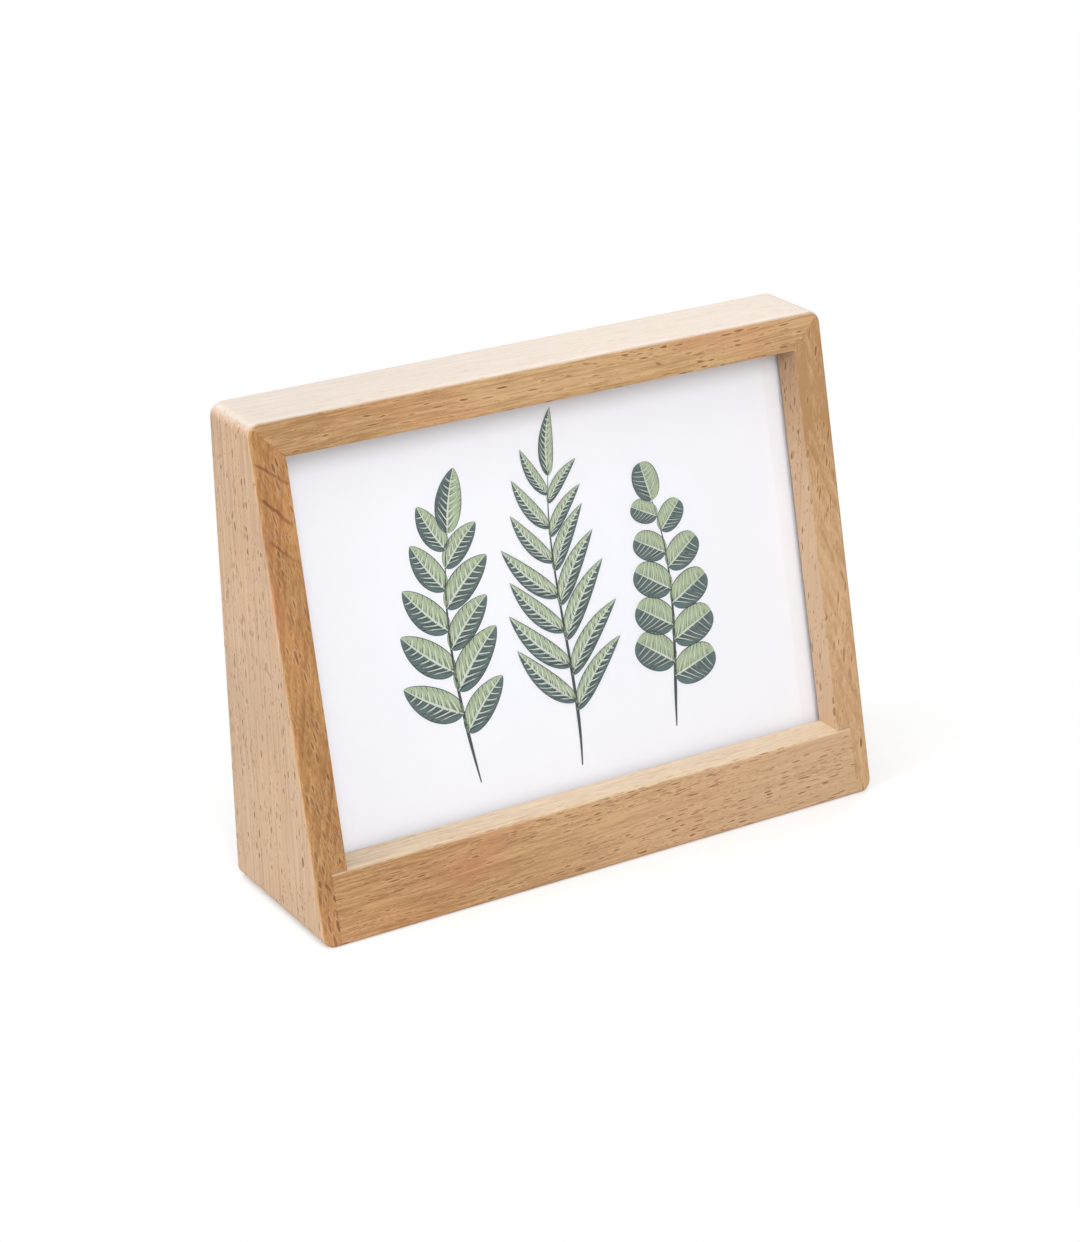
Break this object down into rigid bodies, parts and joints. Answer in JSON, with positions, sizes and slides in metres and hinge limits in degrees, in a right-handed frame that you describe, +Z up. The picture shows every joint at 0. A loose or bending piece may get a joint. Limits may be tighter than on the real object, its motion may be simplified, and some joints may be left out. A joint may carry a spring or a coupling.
{
  "type": "picture frame",
  "caption": "Wedge-shaped solid wood desktop picture frame, leaning back, with a glazed picture held in a rear rebate by riveted turn clips.",
  "frame": {"origin": "middle of the footprint, on the surface that the frame stands on", "axes": "+Z up, -Y the way the picture faces, +X to the right of someone who looks at the picture"},
  "size_m": [0.19, 0.0552, 0.146],
  "materials": {
    "beech": "satin oiled",
    "tongue_wood": "raw",
    "glazing": "clear polished",
    "print_paper": "matt",
    "grey_card": "matt",
    "fibre_board": "smooth pressed",
    "clip_steel": "zinc plated",
    "rivet_steel": "zinc plated"
  },
  "bodies": {
    "frame": {"left_side": "beech", "right_side": "beech", "top_board": "beech", "bottom_rail": "beech", "left_mitre_tongue": "tongue_wood", "right_mitre_tongue": "tongue_wood", "glazing": "glazing", "print": "print_paper", "filler_card": "grey_card", "backing_board": "fibre_board", "lower_left_rivet": "rivet_steel", "lower_right_rivet": "rivet_steel", "upper_left_rivet": "rivet_steel", "upper_right_rivet": "rivet_steel"},
    "lower_left_clip": {"lower_left_clip": "clip_steel"},
    "lower_right_clip": {"lower_right_clip": "clip_steel"},
    "upper_left_clip": {"upper_left_clip": "clip_steel"},
    "upper_right_clip": {"upper_right_clip": "clip_steel"}
  },
  "joints": [
    {"name": "lower_left_clip_turn", "type": "hinge", "parent": "frame", "child": "lower_left_clip", "pos_m": [-0.08, -0.00005, 0.04366], "axis": [0, 0.9769, -0.2139], "continuous": true},
    {"name": "lower_right_clip_turn", "type": "hinge", "parent": "frame", "child": "lower_right_clip", "pos_m": [0.08, -0.00005, 0.04366], "axis": [0, 0.9769, -0.2139], "continuous": true},
    {"name": "upper_left_clip_turn", "type": "hinge", "parent": "frame", "child": "upper_left_clip", "pos_m": [-0.08, 0.01428, 0.10911], "axis": [0, 0.9769, -0.2139], "continuous": true},
    {"name": "upper_right_clip_turn", "type": "hinge", "parent": "frame", "child": "upper_right_clip", "pos_m": [0.08, 0.01428, 0.10911], "axis": [0, 0.9769, -0.2139], "continuous": true}
  ]
}
